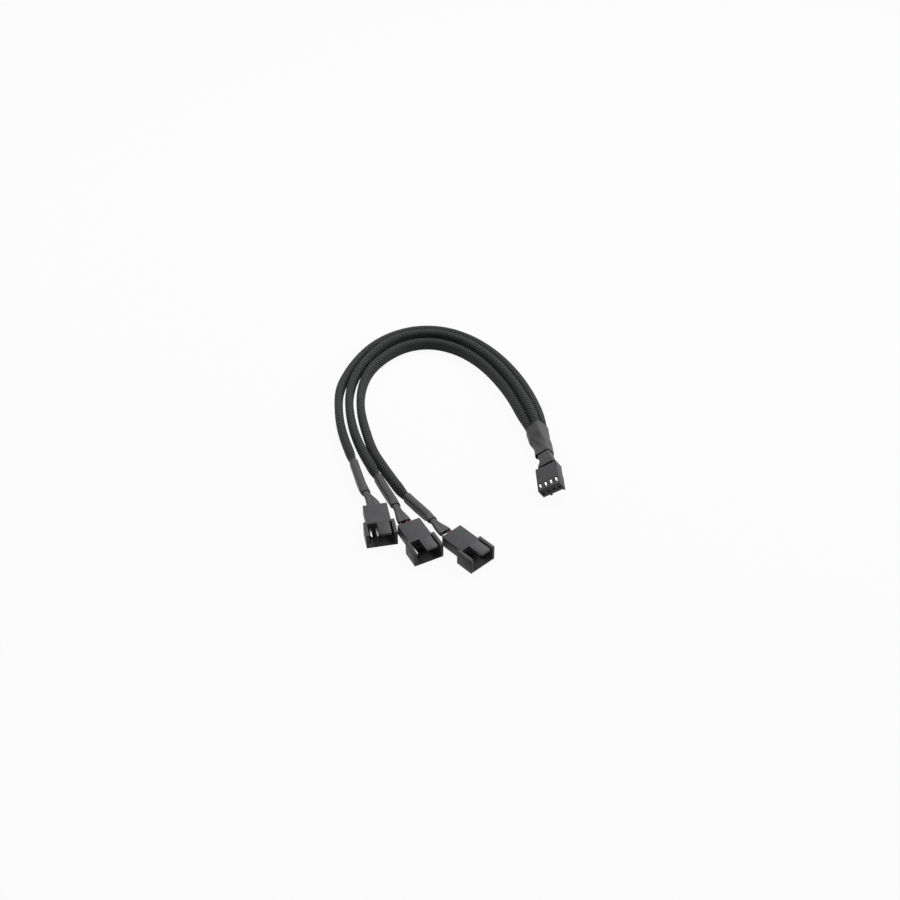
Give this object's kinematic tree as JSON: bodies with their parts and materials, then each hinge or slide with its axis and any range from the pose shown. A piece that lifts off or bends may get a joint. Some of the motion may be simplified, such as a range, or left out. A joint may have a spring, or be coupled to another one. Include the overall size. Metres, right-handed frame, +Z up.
{
  "type": "fan splitter cable",
  "caption": "Splitter cable: a small female plug feeds several shrouded male plugs through flat braided leads, bundled at the female end by a shrink sleeve.",
  "frame": {"origin": "on the table, at the middle of the underside of the middle male plug's shroud", "axes": "+Z up from the table, +Y towards the top of the arch of the leads, +X towards the female plug's side"},
  "size_m": [0.1, 0.163, 0.0112],
  "materials": {
    "black_nylon": "satin moulded nylon with a fine spark texture",
    "black_shrink": "satin heat-shrunk tubing",
    "braided_sleeve": "fine braid of black polyester threads",
    "tinned_contact": "stamped brass with bright tin plating",
    "black_wire": "soft wire insulation",
    "red_wire": "soft wire insulation"
  },
  "bodies": {
    "root": {"female_housing": "black_nylon", "female_terminal_1": "tinned_contact", "female_terminal_2": "tinned_contact", "female_terminal_3": "tinned_contact", "female_terminal_4": "tinned_contact", "neck_shrink": "black_shrink", "trunk_shrink": "black_shrink", "male_housing_a": "black_nylon", "sleeve_a": "braided_sleeve", "branch_shrink_a": "black_shrink", "tail_shrink_a": "black_shrink", "male_pin_a_control": "tinned_contact", "wire_a_control": "black_wire", "trunk_wire_a_control": "black_wire", "male_pin_a_signal": "tinned_contact", "wire_a_signal": "black_wire", "trunk_wire_a_signal": "black_wire", "male_pin_a_supply": "tinned_contact", "wire_a_supply": "red_wire", "trunk_wire_a_supply": "black_wire", "male_pin_a_ground": "tinned_contact", "wire_a_ground": "black_wire", "trunk_wire_a_ground": "black_wire", "male_housing_b": "black_nylon", "sleeve_b": "braided_sleeve", "branch_shrink_b": "black_shrink", "tail_shrink_b": "black_shrink", "male_pin_b_control": "tinned_contact", "wire_b_control": "black_wire", "trunk_wire_b_control": "black_wire", "male_pin_b_supply": "tinned_contact", "wire_b_supply": "red_wire", "trunk_wire_b_supply": "black_wire", "male_pin_b_ground": "tinned_contact", "wire_b_ground": "black_wire", "trunk_wire_b_ground": "black_wire", "male_housing_c": "black_nylon", "sleeve_c": "braided_sleeve", "branch_shrink_c": "black_shrink", "tail_shrink_c": "black_shrink", "male_pin_c_control": "tinned_contact", "wire_c_control": "black_wire", "trunk_wire_c_control": "black_wire", "male_pin_c_supply": "tinned_contact", "wire_c_supply": "red_wire", "trunk_wire_c_supply": "black_wire", "male_pin_c_ground": "tinned_contact", "wire_c_ground": "black_wire", "trunk_wire_c_ground": "black_wire"}
  },
  "joints": []
}
